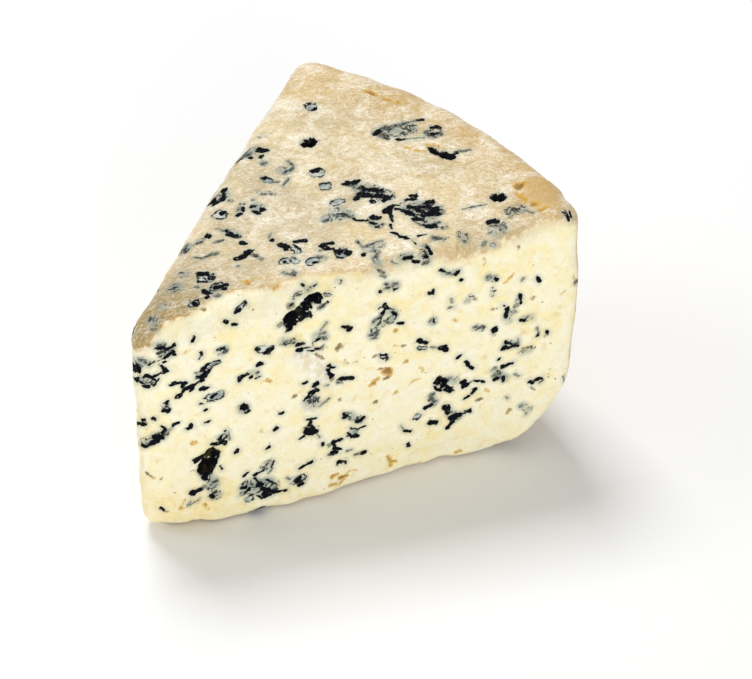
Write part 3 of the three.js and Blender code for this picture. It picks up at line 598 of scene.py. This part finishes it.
# Distance of points to a stroke, negative inside; it grows where the surface turns away from the
# stroke's plane or leaves it
def stroke_distance(points, normals, stroke):
    offset = points - stroke.place
    past = np.maximum(np.abs(offset @ stroke.along) - stroke.reach, 0)
    lost = turned_away(offset @ stroke.out, normals @ stroke.out)
    return np.hypot(past, offset @ stroke.aside) - stroke.radius + lost


# Millimetres that a stroke loses off its plane, and where the surface no longer faces the same way
def turned_away(off_plane, facing):
    off = np.maximum(np.abs(off_plane) - PLANE_SLACK, 0)
    return TURNING_LOSS * np.clip(FACING_ENOUGH - facing, 0, 1) + LEAVING_LOSS * off


# A function that gives the numbers of the places within a span of a stroke's middle
def near_finder(places):
    order = np.argsort(places[:, 0])
    sorted_x = places[order, 0]

    def near(stroke, margin):
        span = stroke.reach + stroke.radius + margin
        start, end = np.searchsorted(sorted_x, (stroke.place[0] - span, stroke.place[0] + span))
        some = order[start:end]
        return some[np.abs(places[some, 1:] - stroke.place[1:]).max(1) < span] if len(some) else some

    return near


# Numbers of the two mould strokes that are nearest to each place, the nearest first
def nearest_two(places, normals, strokes):
    distance = np.full((2, len(places)), FAR)
    number = np.full((2, len(places)), -1)
    near_places = near_finder(places)
    for index, stroke in enumerate(strokes):
        near = near_places(stroke, LINE_MARGIN)
        new = stroke_distance(places[near], normals[near], stroke)
        nearest = new < distance[0, near]
        second = ~nearest & (new < distance[1, near])
        first = near[nearest]
        distance[1, first], number[1, first] = distance[0, first], number[0, first]
        distance[0, first], number[0, first] = new[nearest], index
        distance[1, near[second]], number[1, near[second]] = new[second], index
    return number


# Each corner's place in the frame of the face's stroke, with the stroke's radius, and what the
# stroke is: its reach, how black its inside is and how black its outline is
def stroke_frames(points, normals, quads, number, strokes):
    along, aside, out, place = [
        np.array([getattr(stroke, name) for stroke in strokes])[number, None]
        for name in ("along", "aside", "out", "place")
    ]
    radius = np.array([stroke.radius for stroke in strokes])[number, None]
    kinds = np.array([(stroke.reach, *MOULD_KINDS[stroke.kind][:2]) for stroke in strokes])[number]
    offset = points[quads] - place
    lost = turned_away(np.sum(offset * out, 2), np.sum(normals[quads] * out, 2))
    frames = np.stack([np.sum(offset * along, 2), np.sum(offset * aside, 2), radius - lost], 2)
    frames[number < 0] = (FAR, FAR, 0)
    kinds[number < 0] = 0
    return frames.reshape(-1, 3), np.repeat(kinds, 4, axis=0)


def smooth_step(x, start, end):
    t = np.clip((x - start) / (end - start), 0, 1)
    return t * t * (3 - 2 * t)


# What is soft or sunken at each point: the mould's distance, radius and depth; the haze, the raised
# tan flap and the torn curd; the stains' distance; and how rusty they are
def soft_fields(points, normals, strokes):
    count = len(points)
    distance, stain = np.full(count, FAR), np.full(count, FAR)
    weight = np.full(count, TINY)
    radius, pit, rust = [np.zeros(count) for _ in range(3)]
    soft = {kind: np.zeros(count) for kind in SOFT_EDGES}
    near_points = near_finder(points)
    for stroke in strokes:
        near = near_points(stroke, SOFT_MARGIN)
        new = stroke_distance(points[near], normals[near], stroke)
        if stroke.kind in SOFT_EDGES:
            share = smooth_step(-new, *SOFT_EDGES[stroke.kind])
            soft[stroke.kind][near] = np.maximum(soft[stroke.kind][near], share)
        elif stroke.kind in STAIN_KINDS:
            closer = new < stain[near]
            stain[near] = np.where(closer, new, stain[near])
            rust[near] = np.where(closer, stroke.kind == "rust", rust[near])
        else:
            # The nearer strokes count for more in a point's radius and depth
            pull = np.exp(-np.clip(new, -1.5, 6) / PULL_LENGTH)
            depth = MOULD_KINDS[stroke.kind][2] * smooth_step(stroke.radius, *SINKING_RADII)
            weight[near] += pull
            radius[near] += stroke.radius * pull
            pit[near] += depth * pull
            distance[near] = np.minimum(distance[near], new)
    mould = np.stack([distance, radius / weight, pit / weight], 1)
    return mould, np.stack(list(soft.values()), 1), stain, rust


# Share of rind at each point: all of the top, the rim and the base, none of the two cuts
def rind_share(points):
    x, y, z = points.T
    r = np.hypot(x, y)
    front_depth = x * math.sin(HALF_ANGLE) + y * math.cos(HALF_ANGLE)
    back_depth = x * math.sin(HALF_ANGLE) - y * math.cos(HALF_ANGLE)
    from_cut = np.minimum(front_depth, back_depth + 2.6)
    # Near the tip the paste runs a little way over the top's edge
    spill = 1.2 + 3.2 * hump(r, at=26, width=13) - 1.2 * hump(r, at=78, width=12)
    spill += 0.5 * wobble(points, length=9, seed=SEED + 1)
    below_top = top_height(x, y) - z
    on_top = smooth_step(from_cut, spill - 1.6, spill + 1.6) * smooth_step(-below_top, -6.5, -2.5)
    off_cuts = smooth_step(from_cut, 0.8, 2.6)
    low = np.clip(1 - z / FOOT_HEIGHT, 0, 1)
    on_rim = smooth_step(r, 97.2, 98.6) * off_cuts
    on_foot = smooth_step(r - rim_radius(z), -2.2, -0.8) * smooth_step(low, 0.05, 0.3) * off_cuts
    on_base = smooth_step(-z, -1.2, -0.3)
    return np.maximum.reduce([on_top, on_rim, on_foot, on_base])


# The strokes read off the photo, then those strewn where the photo doesn't look
def all_strokes(points, normals):
    r = np.hypot(points[:, 0], points[:, 1])
    back_out = np.array([-math.sin(HALF_ANGLE), math.cos(HALF_ANGLE), 0])
    back = (normals @ back_out > 0.85) & (r > 14)
    areas = {
        "back": back,
        "back tip": back & (points[:, 0] < 45),
        "rim": (r > 96) & (normals[:, 2] < 0.5) & (points[:, 2] > 3),
        "base": normals[:, 2] < -0.9,
    }
    strokes = photo_strokes(CUT_STROKES) + photo_strokes(TOP_STROKES)
    for name, chosen in areas.items():
        strokes += strewn_strokes(points, normals, chosen, *STREWN_AREAS[name])
    return strokes


def store(mesh, name, values, domain="POINT"):
    attribute = mesh.attributes.new(name, "FLOAT_VECTOR", domain)
    attribute.data.foreach_set("vector", np.ascontiguousarray(values, dtype=np.float32).ravel())


# Places drawn in along the curd's slant, so that noise read there comes out as slanting strokes
def slanted(points):
    level = math.cos(CURD_TILT)
    way = np.array([level * math.cos(HALF_ANGLE), -level * math.sin(HALF_ANGLE), math.sin(CURD_TILT)])
    return points - CURD_STRETCH * np.outer(points @ way, way)


def wedge_object():
    points, quads = wedge_surface()
    normals = outward_directions(points)
    strokes = all_strokes(points, normals)
    low, high = points.min(0), points.max(0)
    middle = np.array([(low[0] + high[0]) / 2, (low[1] + high[1]) / 2, 0])
    mesh = bpy.data.meshes.new("cheese")
    mesh.from_pydata(((points - middle) * MM).tolist(), [], quads.tolist())
    mould, veil, stain, rust = soft_fields(points, normals, strokes)
    store(mesh, "rest", points)
    store(mesh, "curd", slanted(points))
    store(mesh, "outward", normals)
    store(mesh, "mould", mould)
    store(mesh, "veil", veil)
    store(mesh, "stain", np.stack([stain, rust, rind_share(points)], 1))
    sharp = [stroke for stroke in strokes if stroke.kind in MOULD_KINDS]
    number = nearest_two(points[quads].mean(1), normals[quads].mean(1), sharp)
    for rank, name in enumerate(("first", "second")):
        frames, kinds = stroke_frames(points, normals, quads, number[rank], sharp)
        store(mesh, name + "_frame", frames, "CORNER")
        store(mesh, name + "_kind", kinds, "CORNER")
    cheese = bpy.data.objects.new("cheese", mesh)
    bpy.context.collection.objects.link(cheese)
    return cheese, middle


# A method that adds a Math node on a value and another number
def operator(operation, turned_round=False):
    def method(value, other):
        pair = (other, value) if turned_round else (value, other)
        return value.graph.math(operation, *pair)

    return method


class Value:
    """A number socket of a node tree, on which Python's operators add Math nodes."""

    def __init__(self, graph, socket):
        self.graph = graph
        self.socket = socket

    def math(self, operation, *others):
        return self.graph.math(operation, self, *others)

    __add__ = __radd__ = operator("ADD")
    __sub__ = operator("SUBTRACT")
    __rsub__ = operator("SUBTRACT", turned_round=True)
    __mul__ = __rmul__ = operator("MULTIPLY")
    least = operator("MINIMUM")
    most = operator("MAXIMUM")

    def __neg__(self):
        return self * -1

    def __abs__(self):
        return self.math("ABSOLUTE")

    def between(self, start, end):
        """0 below start, 1 above end and a smooth step between."""
        settings = {"interpolation_type": "SMOOTHSTEP"}
        inputs = {"Value": self, "From Min": start, "From Max": end}
        return self.graph.value("ShaderNodeMapRange", settings, inputs)


class Graph:
    """A node tree and the few ways in which this script adds nodes to it."""

    def __init__(self, tree):
        self.tree = tree

    def node(self, kind, settings=None, inputs=None):
        node = self.tree.nodes.new(kind)
        for name, setting in (settings or {}).items():
            setattr(node, name, setting)
        for name, given in (inputs or {}).items():
            socket = node.inputs[name]
            given = given.socket if isinstance(given, Value) else given
            if isinstance(given, bpy.types.NodeSocket):
                self.tree.links.new(given, socket)
            else:
                socket.default_value = given
        return node

    def first(self, kind, settings=None, inputs=None):
        """The first output of a new node."""
        return self.node(kind, settings, inputs).outputs[0]

    def value(self, kind, settings=None, inputs=None):
        return Value(self, self.first(kind, settings, inputs))

    def math(self, operation, *numbers):
        return self.value("ShaderNodeMath", {"operation": operation}, dict(enumerate(numbers)))

    def noise(self, place, length, detail=2.0, roughness=0.5, distortion=0.0):
        """Noise from about -0.5 to 0.5 with features of a length, in the unit of the place."""
        inputs = {"Vector": place, "Scale": 1 / length, "Detail": detail, "Roughness": roughness,
                  "Distortion": distortion}
        return self.value("ShaderNodeTexNoise", None, inputs) - 0.5

    def cells(self, place, length):
        """Distance to the nearest of scattered spots, as a share of their spacing."""
        return self.value("ShaderNodeTexVoronoi", None, {"Vector": place, "Scale": 1 / length})

    def brushed_along(self, place, scale):
        """The place turned to the knife's way over the top, then scaled along each axis."""
        turn = {"Vector": place, "Angle": KNIFE_TURN}
        turned = self.first("ShaderNodeVectorRotate", {"rotation_type": "Z_AXIS"}, turn)
        return self.first("ShaderNodeVectorMath", {"operation": "MULTIPLY"}, {0: turned, 1: scale})

    def parts(self, vector):
        split = self.node("ShaderNodeSeparateXYZ", None, {0: vector})
        return [Value(self, output) for output in split.outputs]

    def blend(self, factor, first, second):
        """A colour between two others, by a factor from 0 to 1."""
        settings = {"data_type": "RGBA", "clamp_factor": True}
        return self.node("ShaderNodeMix", settings, {0: factor, 6: first, 7: second}).outputs[2]

    def layers(self, colour, *coats):
        """A colour under coats of others, each with its share from 0 to 1."""
        for share, tint in coats:
            colour = self.blend(share, colour, tint)
        return colour


# How far noise pushes the mould's edge in and out, as shares of its fraying; the relief and the
# colours share it
def fraying(graph, curd):
    coarse = graph.noise(curd, 1.9, 2.0, 0.6)
    fine = graph.noise(curd, 0.55, 2.0, 0.7)
    chips = graph.cells(curd, 1.0) - 0.45
    return coarse * 2.2 + fine * 1.5 + chips * 0.8


# Wide mould frays further than thin lines do
def frayed(distance, radius, noise):
    return distance + noise * (radius.most(0).least(0.7) * 0.7 + 0.18)


# Distance from the wheel's axis
def from_axis(x, y):
    return (x * x + y * y).math("SQRT")


# Oily strokes that the palette knife left over the top
def brushed(graph, rest):
    return graph.noise(graph.brushed_along(rest, (0.45, 1.0, 0.6)), 1.7, 4.0, 0.66, 1.9)


def attribute_in_tree(graph, name):
    settings = {"data_type": "FLOAT_VECTOR"}
    return graph.first("GeometryNodeInputNamedAttribute", settings, {"Name": name})


# Relief: mould sinks in, torn curd crumbles, and the paste keeps the knife's smear
def relief_tree(material):
    tree = bpy.data.node_groups.new("cheese_relief", "GeometryNodeTree")
    sockets = tree.interface
    sockets.new_socket("Geometry", in_out="INPUT", socket_type="NodeSocketGeometry")
    for name in RELIEF_SIZES:
        sockets.new_socket(name, in_out="INPUT", socket_type="NodeSocketFloat")
    sockets.new_socket("Geometry", in_out="OUTPUT", socket_type="NodeSocketGeometry")
    graph = Graph(tree)
    geometry, *heights = graph.node("NodeGroupInput").outputs[:1 + len(RELIEF_SIZES)]
    smear, crumb, stroke, pit_share = [Value(graph, socket) for socket in heights]
    rest = attribute_in_tree(graph, "rest")
    distance, radius, pit = graph.parts(attribute_in_tree(graph, "mould"))
    flap, torn = graph.parts(attribute_in_tree(graph, "veil"))[1:]
    stain, _, rind = graph.parts(attribute_in_tree(graph, "stain"))
    height = graph.parts(rest)[2]
    edge = frayed(distance, radius, fraying(graph, attribute_in_tree(graph, "curd")))
    pits = (-edge).between(-0.25, 1.1) * pit * pit_share
    lips = (0.6 - abs(edge - 0.45)).most(0) * pit.least(1) * 0.16
    stains = (-(stain + graph.noise(rest, 1.2) * 1.6)).between(-0.2, 0.9) * 0.5
    curd = graph.noise(rest, 5.0, 3.0, 0.55) * smear * 2.4
    grit = graph.noise(rest, 1.6, 2.0, 0.6) * smear * 1.5
    cut_relief = (curd + grit) * (1 - rind)
    flakes = (0.5 - graph.cells(rest, 2.1) + graph.noise(rest, 1.1, 2.0)) * crumb * torn
    strokes = brushed(graph, rest) * stroke * rind
    raised = flap * (0.55 + graph.noise(rest, 2.5, 2.0) * 0.6)
    lifted = cut_relief + flakes + strokes + raised + lips - pits - stains
    off_base = height.between(0.4, 3.0)
    shift = graph.first("ShaderNodeVectorMath", {"operation": "SCALE"}, {
        0: attribute_in_tree(graph, "outward"), "Scale": lifted * off_base * MM,
    })
    moved = {"Geometry": geometry, "Offset": shift}
    smooth = {"Geometry": graph.first("GeometryNodeSetPosition", None, moved)}
    real = {"Geometry": graph.first("GeometryNodeSetShadeSmooth", None, smooth)}
    done = {"Geometry": graph.first("GeometryNodeRealizeInstances", None, real), "Material": material}
    graph.node("NodeGroupOutput", None, {0: graph.first("GeometryNodeSetMaterial", None, done)})
    return tree


# The object's mesh after a node tree, as a plain mesh
def apply_tree(thing, tree, sizes):
    modifier = thing.modifiers.new(tree.name, "NODES")
    modifier.node_group = tree
    for socket in tree.interface.items_tree:
        if socket.in_out == "INPUT" and socket.name in sizes:
            modifier[socket.identifier] = float(sizes[socket.name])
    bpy.context.view_layer.update()
    evaluated = thing.evaluated_get(bpy.context.evaluated_depsgraph_get())
    finished = bpy.data.meshes.new_from_object(evaluated)
    thing.modifiers.remove(modifier)
    thing.data = finished
    finished.name = thing.name


# A colour as it looks on a screen, from 0 to 255, made linear
def screen(red, green, blue):
    shares = [c / 255 for c in (red, green, blue)]
    linear = [c / 12.92 if c <= 0.04045 else ((c + 0.055) / 1.055) ** 2.4 for c in shares]
    return (*linear, 1.0)


# The paste and its marks
IVORY = screen(255, 246, 210)
BUTTER = screen(254, 240, 186)
# White curd, partly a painted highlight on the lumps
WHITE_CURD_AND_HIGHLIGHT = screen(255, 251, 228)
# Gold of the hollows: partly yellow mottling of the paste, partly painted shade between the lumps
GOLD_MOTTLE_AND_SHADE = screen(240, 212, 142)
GRAIN_STRAW = screen(240, 216, 156)
SEAM_OCHRE = screen(222, 184, 100)
TOE_STRAW = screen(240, 212, 132)
TORN_WHITE = screen(255, 252, 240)
# Painted shade in the crevices between torn crumbs
CREVICE_SHADE_STRAW = screen(226, 202, 146)

# The rind and the rubbed top
RIND_TAN = screen(230, 208, 158)
RIND_DULL = screen(206, 189, 150)
RIM_TAN = screen(210, 174, 108)
TIP_OLIVE = screen(150, 126, 66)
RUBBED_CREAM = screen(250, 240, 214)
# Pale smear, partly a painted oily sheen
SMEAR_CREAM_AND_SHEEN = screen(252, 244, 222)
MOTTLE_BROWN = screen(198, 168, 112)
GRAIN_BROWN = screen(186, 156, 98)
HAIR_CREAM = screen(255, 250, 234)
HAIR_BROWN = screen(172, 134, 76)
FLAP_TAN = screen(206, 168, 98)
EDGE_OCHRE = screen(208, 168, 96)

# The stains and the mould
NOTCH_GOLD = screen(212, 166, 54)
DEEP_GOLD = screen(146, 100, 12)
PIT_BROWN = screen(146, 122, 72)
DEEP_BROWN = screen(72, 50, 26)
HALO_GREY = screen(160, 174, 162)
HAZE_GREY = screen(142, 156, 150)
PALE_MOULD = screen(212, 218, 208)
DUSKY_MOULD = screen(118, 132, 136)
BLUE_BLACK = screen(10, 13, 20)
PIT_OLIVE = screen(84, 76, 32)


def named_vector(graph, name):
    return graph.node("ShaderNodeAttribute", {"attribute_name": name}).outputs["Vector"]


# The cut paste: ivory, with buttery and white curd in soft clouds and a fine grain. The white curd patches
# are partly painted highlights on the lumps, and the gold between them is partly painted shade in the
# hollows
def paste_colour(graph, rest, torn):
    clouds = graph.noise(rest, 11.0, 2.0).between(-0.12, 0.2)
    # White curd patches: partly real white curd, partly painted highlights on the lumps
    curd = graph.noise(rest, 3.2, 2.0, 0.5).between(-0.1, 0.14)
    # Gold hollows: partly real yellow mottling, partly painted shade between the curd lumps
    hollow = graph.noise(rest, 2.6, 3.0, 0.55, 0.4).between(0.04, 0.34)
    grain = graph.noise(rest, 0.5, 2.0).between(-0.1, 0.3)
    seams = (0.03 - abs(graph.noise(rest, 5.0, 3.0, 0.55, 1.2))).between(0.0, 0.03)
    x, y, z = graph.parts(rest)
    toe = (28 - from_axis(x, y)).between(0, 12) * (22 - z).between(0, 16)
    # Painted shade: straw-coloured darkening in the crevices between the torn crumbs
    crevice_shade = graph.cells(rest, 1.3).between(0.38, 0.62) * torn
    return graph.layers(
        IVORY,
        (clouds, BUTTER),
        # Partly painted highlight: white curd patches on the lumps
        (curd * 0.7, WHITE_CURD_AND_HIGHLIGHT),
        # Partly painted shade: gold in the hollows between the lumps
        (hollow * 0.6, GOLD_MOTTLE_AND_SHADE),
        (grain * 0.2, GRAIN_STRAW),
        (seams * (0.1 + 0.4 * hollow), SEAM_OCHRE),
        (toe * (0.25 + 0.5 * hollow), TOE_STRAW),
        (torn * 0.75, TORN_WHITE),
        (crevice_shade * 0.4, CREVICE_SHADE_STRAW),
    )


# The rubbed top and the rind: tan and oily, paler where the knife smeared it; the pale smear streaks are
# partly a painted oily sheen
def rind_colour(graph, rest, flap):
    x, y, z = graph.parts(rest)
    reach = from_axis(x, y)
    broad = graph.noise(rest, 24.0, 2.0).between(-0.1, 0.12)
    patches = graph.noise(rest, 8.0, 4.0, 0.66, 0.7).between(-0.12, 0.2) * reach.between(10, 44)
    # Smear streaks: partly pale paste smeared by the knife, partly painted oily sheen
    smear = brushed(graph, rest).between(0.0, 0.2)
    mottle = graph.noise(rest, 2.4, 4.0, 0.7).between(-0.04, 0.2)
    grain = graph.noise(rest, 0.45, 3.0, 0.6).between(-0.05, 0.25)
    middle = (24 - abs(reach - 72)).between(0, 20)
    on_rim = (z - 48).between(0, 8) * 0.35
    hairs = abs(graph.noise(graph.brushed_along(rest, (0.5, 1.0, 0.6)), 1.5, 3.0, 0.6, 1.6))
    pale_hairs = (0.035 - hairs).between(0.0, 0.025)
    brown_hairs = (0.022 - abs(hairs - 0.1)).between(0.0, 0.02)
    return graph.layers(
        RIND_TAN,
        (broad, RIND_DULL),
        (reach.between(74, 98) * 0.8, RIM_TAN),
        ((38 - reach).between(0, 24) * 0.9, TIP_OLIVE),
        (patches * (0.25 + on_rim + 0.35 * middle), RUBBED_CREAM),
        (smear * 0.6, SMEAR_CREAM_AND_SHEEN),
        (mottle * 0.5, MOTTLE_BROWN),
        (grain * 0.3, GRAIN_BROWN),
        (pale_hairs * (patches * 0.7 + 0.3), HAIR_CREAM),
        (brown_hairs * 0.45, HAIR_BROWN),
        (flap * 0.8, FLAP_TAN),
    )


# Black of the two strokes that are nearest to a place, the grey that fills hollow ones, and how
# near the place is to either
def mould_share(graph, noise, patchy, crumbs_and_glints):
    black, hollow, near = [], [], []
    for name in ("first", "second"):
        u, v, radius = graph.parts(named_vector(graph, name + "_frame"))
        reach, fill, outline = graph.parts(named_vector(graph, name + "_kind"))
        past = (abs(u) - reach).most(0)
        edge = frayed((past * past + v * v).math("SQRT") - radius, radius, noise)
        width = (0.2 + patchy * 0.8).most(0.0)
        line = (width - abs(edge + 0.05)).between(0.0, 0.12) * outline
        inside = (-edge).between(-0.1, 0.14)
        # The crumbly noise, with its painted glints, leaves paler spots in the black
        black.append(line.most(inside * (fill + crumbs_and_glints).between(0.3, 0.85)))
        hollow.append(inside * (1 - fill) * outline)
        near.append(edge)
    return black[0].most(black[1]), hollow[0].most(hollow[1]), near[0].least(near[1])


def shiny(graph, colour, roughness, specular, normal):
    return graph.first("ShaderNodeBsdfPrincipled", None, {
        "Base Color": colour, "Roughness": roughness, "Normal": normal, "IOR": 1.44,
        "Subsurface Weight": 0.12, "Subsurface Radius": (1.0, 0.7, 0.4), "Subsurface Scale": 1.2 * MM,
        "Specular IOR Level": specular,
    })


# Stains on the paste: gold in the notches, and rusty brown in the small pits
def stain_coat(graph, rest, stain, rust):
    spot = stain + graph.noise(rest, 1.3, 3.0, 0.65) * 1.9
    depth = (-spot).between(0.1, 0.8)
    gold = graph.blend(depth, NOTCH_GOLD, DEEP_GOLD)
    brown = graph.blend(depth, PIT_BROWN, DEEP_BROWN)
    return (-spot).between(-0.35, 0.25) * 0.92, graph.blend(rust, gold, brown)


# The cheese's one material: paste on the cuts, rind on the rest, and the mould over both
def cheese_material():
    material = bpy.data.materials.new("blue_cheese")
    material.use_nodes = True
    material.node_tree.nodes.clear()
    graph = Graph(material.node_tree)
    rest = named_vector(graph, "rest")
    curd = named_vector(graph, "curd")
    pit = graph.parts(named_vector(graph, "mould"))[2]
    haze, flap, torn = graph.parts(named_vector(graph, "veil"))
    stain, rust, rind = graph.parts(named_vector(graph, "stain"))

    patchy = graph.noise(curd, 1.6, 2.0)
    # Painted glints: small pale spots cut out of the black mould, standing in for highlights
    painted_glints = (0.3 - graph.cells(curd, 0.75)).between(0.0, 0.16) * patchy.between(-0.04, 0.12)
    crumbs_and_glints = graph.noise(curd, 0.55, 3.0, 0.6) * 1.5 - painted_glints * 0.55
    black, hollow, near = mould_share(graph, fraying(graph, curd), patchy, crumbs_and_glints)

    ragged = graph.noise(rest, 1.6, 3.0, 0.65)
    rubbed = (rind + ragged * 1.3).between(0.36, 0.64)
    boundary = (1 - abs(rind * 2 - 1)).between(0.0, 0.8) * (ragged + 0.15).between(-0.1, 0.2)
    dusk = graph.noise(curd, 2.2, 3.0, 0.6).between(-0.14, 0.14)
    colour = graph.layers(
        graph.blend(rubbed, paste_colour(graph, rest, torn), rind_colour(graph, rest, flap)),
        (boundary * 0.35, EDGE_OCHRE),
        stain_coat(graph, rest, stain, rust),
        ((1.3 - near).between(0.0, 1.6) * 0.5, HALO_GREY),
        (haze * (0.35 + 0.5 * dusk), HAZE_GREY),
        (hollow * 0.9, graph.blend(dusk, PALE_MOULD, DUSKY_MOULD)),
    )

    crooked = abs(graph.noise(curd, 1.7, 3.0, 0.6, 0.6))
    threads = (0.05 * haze - 0.01 - crooked).between(0.0, 0.012) * patchy.between(-0.1, 0.0)
    strewn = 0.06 * (1 - rind) * patchy.between(0.0, 0.2)
    specks = (haze * 0.2 + strewn + graph.noise(curd, 0.8, 2.0, 0.5) - 0.28).between(0.0, 0.05)
    dark = black.most(threads * 0.9).most(specks * 0.9)
    olive = (pit - 1.6).between(0, 1) * graph.noise(rest, 2.4, 2.0).between(0.04, 0.14) * (1 - rind)
    colour = graph.blend(dark, colour, graph.blend(olive * 0.85, BLUE_BLACK, PIT_OLIVE))

    wet = graph.noise(rest, 3.0, 2.0).between(-0.2, 0.2)
    roughness = 0.5 + 0.12 * wet - 0.2 * rind
    fine = graph.noise(rest, 0.32, 3.0, 0.6) * 0.1 + graph.noise(rest, 1.3, 3.0, 0.6) * 0.5
    crumbs = (0.5 - graph.cells(rest, 0.8)) * torn * 0.5
    streaks = brushed(graph, rest) * rind * 0.3
    height = fine + crumbs + streaks - dark * 0.2
    bump = graph.first("ShaderNodeBump", None, {"Strength": 0.8, "Distance": MM, "Height": height})
    paste = shiny(graph, colour, roughness, 0.4, bump)
    mould = shiny(graph, colour, 0.8, 0.1, bump)
    mixed = graph.first("ShaderNodeMixShader", None, {0: dark, 1: paste, 2: mould})
    graph.node("ShaderNodeOutputMaterial", None, {"Surface": mixed})
    return material


def plain_material(name, colour, roughness):
    material = bpy.data.materials.new(name)
    material.use_nodes = True
    shader = material.node_tree.nodes["Principled BSDF"]
    shader.inputs["Base Color"].default_value = colour
    shader.inputs["Roughness"].default_value = roughness
    return material


def add_floor():
    half = FLOOR_SIDE / 2
    corners = [(-half, -half, 0), (half, -half, 0), (half, half, 0), (-half, half, 0)]
    mesh = bpy.data.meshes.new("floor")
    mesh.from_pydata(corners, [], [(0, 1, 2, 3)])
    mesh.materials.append(plain_material("floor_white", FLOOR_WHITE, FLOOR_ROUGHNESS))
    floor = bpy.data.objects.new("floor", mesh)
    bpy.context.collection.objects.link(floor)


def add_camera(middle):
    right, ahead, up = view_directions()
    place = (eye_place() - middle) * MM
    data = bpy.data.cameras.new("camera")
    data.lens = LENS
    data.sensor_width = SENSOR
    data.clip_start = 0.01
    camera = bpy.data.objects.new("camera", data)
    turned = Matrix((right.tolist(), up.tolist(), (-ahead).tolist())).transposed().to_4x4()
    camera.matrix_world = Matrix.Translation(place.tolist()) @ turned
    bpy.context.collection.objects.link(camera)
    bpy.context.scene.camera = camera


# A square soft lamp that points at the wedge's middle
def add_lamp(name, place, size, power):
    data = bpy.data.lights.new(name, "AREA")
    data.shape = "SQUARE"
    data.size = size
    data.energy = power
    lamp = bpy.data.objects.new(name, data)
    lamp.location = place
    lamp.rotation_euler = (Vector(LAMP_TARGET) - place).to_track_quat("-Z", "Y").to_euler()
    bpy.context.collection.objects.link(lamp)


def add_light():
    right, ahead = [Vector(way) for way in view_directions()[:2]]
    level = Vector((ahead.x, ahead.y, 0)).normalized()
    for name, (aside, beyond, above, size, power) in LAMPS.items():
        place = aside * right + beyond * level + Vector((0, 0, above))
        add_lamp(name, place, size, power)
    world = bpy.data.worlds.new("studio")
    world.use_nodes = True
    sky = world.node_tree.nodes["Background"].inputs
    sky["Color"].default_value = (1, 1, 1, 1)
    sky["Strength"].default_value = SKY_STRENGTH
    bpy.context.scene.world = world


cheese, middle = wedge_object()
material = cheese_material()
apply_tree(cheese, relief_tree(material), RELIEF_SIZES)
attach(cheese, "root")
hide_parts("cheese_wedge")

add_camera(middle)
add_light()
add_floor()
bpy.context.scene.view_settings.view_transform = "Standard"
bpy.context.scene.view_settings.look = "None"
